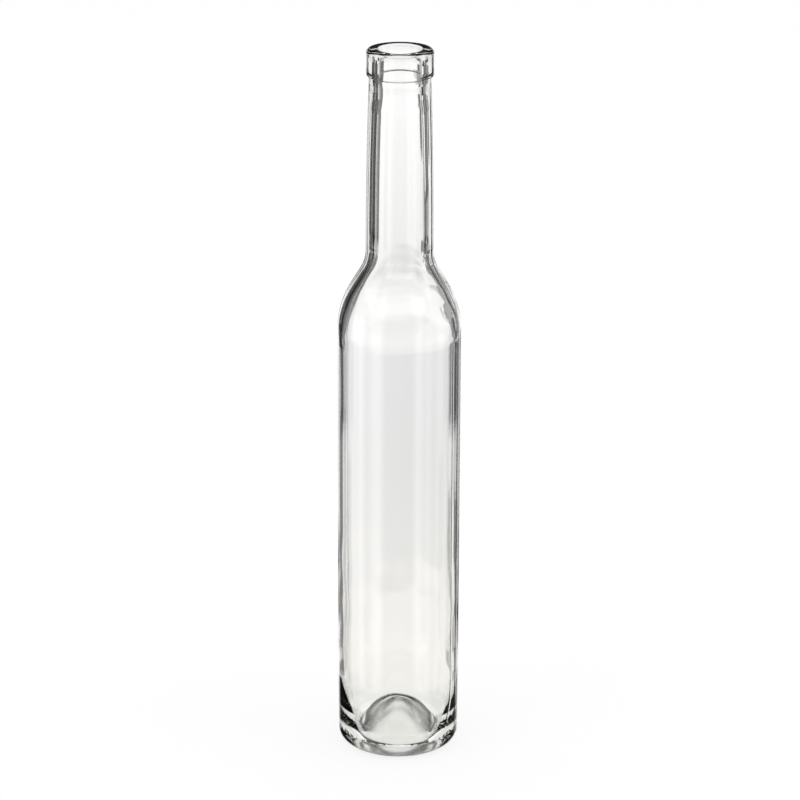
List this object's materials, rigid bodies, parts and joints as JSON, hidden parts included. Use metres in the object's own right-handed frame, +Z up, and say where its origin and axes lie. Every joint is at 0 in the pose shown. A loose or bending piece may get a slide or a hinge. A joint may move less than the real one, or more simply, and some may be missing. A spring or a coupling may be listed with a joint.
{
  "type": "glass bottle",
  "caption": "Slim clear glass bottle with a long neck, a banded ring round a cork mouth, rounded shoulders, a straight round body and a deep hollow base.",
  "frame": {"origin": "centre of the resting ring, on the surface that the bottle stands on", "axes": "+Z up along the bottle's axis, from the base to the mouth; +X and +Y are any two directions across it"},
  "size_m": [0.054, 0.054, 0.318],
  "materials": {
    "clear_glass": "smooth fire-polished colourless glass"
  },
  "bodies": {
    "root": {"glass_bottle": "clear_glass"}
  },
  "joints": []
}
